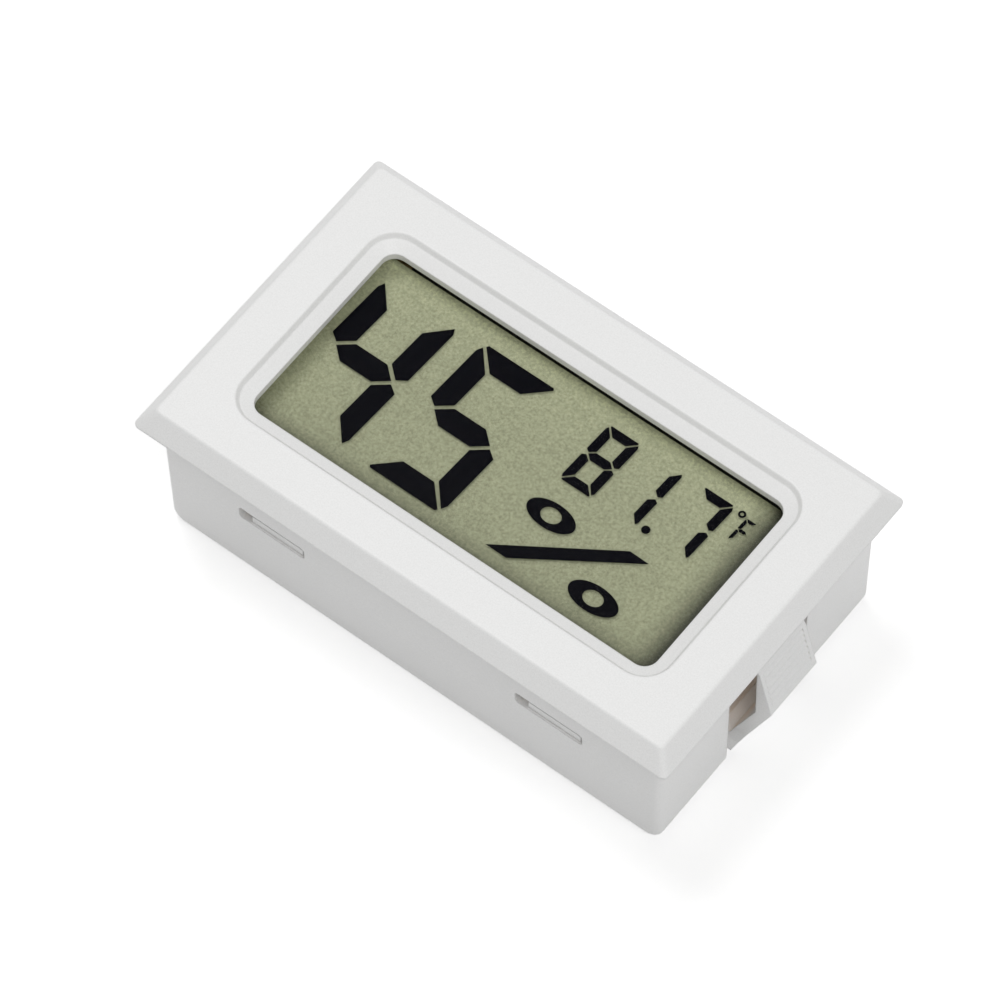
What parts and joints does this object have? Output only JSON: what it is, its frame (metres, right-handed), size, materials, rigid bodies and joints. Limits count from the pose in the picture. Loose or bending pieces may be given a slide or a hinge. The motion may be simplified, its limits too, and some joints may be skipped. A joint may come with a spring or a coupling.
{
  "type": "panel thermo-hygrometer",
  "caption": "White snap-in panel meter with a liquid crystal display for humidity and temperature, two ribbed latch arms and a battery door in its back.",
  "frame": {"origin": "centre of the back face, in the plane that the meter rests on", "axes": "+X along the display from left to right, +Y up the display, +Z out of the display towards the viewer"},
  "size_m": [0.0498, 0.0286, 0.0152],
  "materials": {
    "white_abs": "fine moulded satin",
    "polariser_film": "smooth anti-glare film",
    "display_glass": "polished",
    "reflector_film": "fine grained reflector",
    "connector_rubber": "silicone with fine dark layers",
    "foam_rubber": "closed-cell foam",
    "phenolic_board": "brown paper phenolic",
    "black_epoxy": "cured epoxy",
    "sensor_ceramic": "fired ceramic",
    "tinned_wire": "tinned",
    "cell_steel": "bright nickel",
    "contact_steel": "nickel plated spring steel"
  },
  "bodies": {
    "housing": {"front_shell": "white_abs", "rear_cover": "white_abs", "lcd_front_polariser": "polariser_film", "lcd_front_glass": "display_glass", "lcd_rear_glass": "display_glass", "lcd_rear_polariser": "reflector_film", "zebra_connector": "connector_rubber", "foam_spacer": "foam_rubber", "circuit_board": "phenolic_board", "chip_epoxy": "black_epoxy", "humidity_sensor": "sensor_ceramic", "humidity_sensor_leads": "tinned_wire", "thermistor_bead": "black_epoxy", "thermistor_leads": "tinned_wire", "smd_capacitors": "sensor_ceramic", "smd_resistors": "black_epoxy", "button_cell_a": "cell_steel", "button_cell_b": "cell_steel", "negative_contact_a": "contact_steel", "negative_contact_b": "contact_steel", "positive_contact_a": "contact_steel", "positive_contact_b": "contact_steel"},
    "door": {"battery_door": "white_abs"}
  },
  "joints": [
    {"name": "battery_door_tilt", "type": "hinge", "parent": "housing", "child": "door", "pos_m": [0, 0.0066, 0], "axis": [1, 0, 0], "range_deg": [0, 60]}
  ]
}
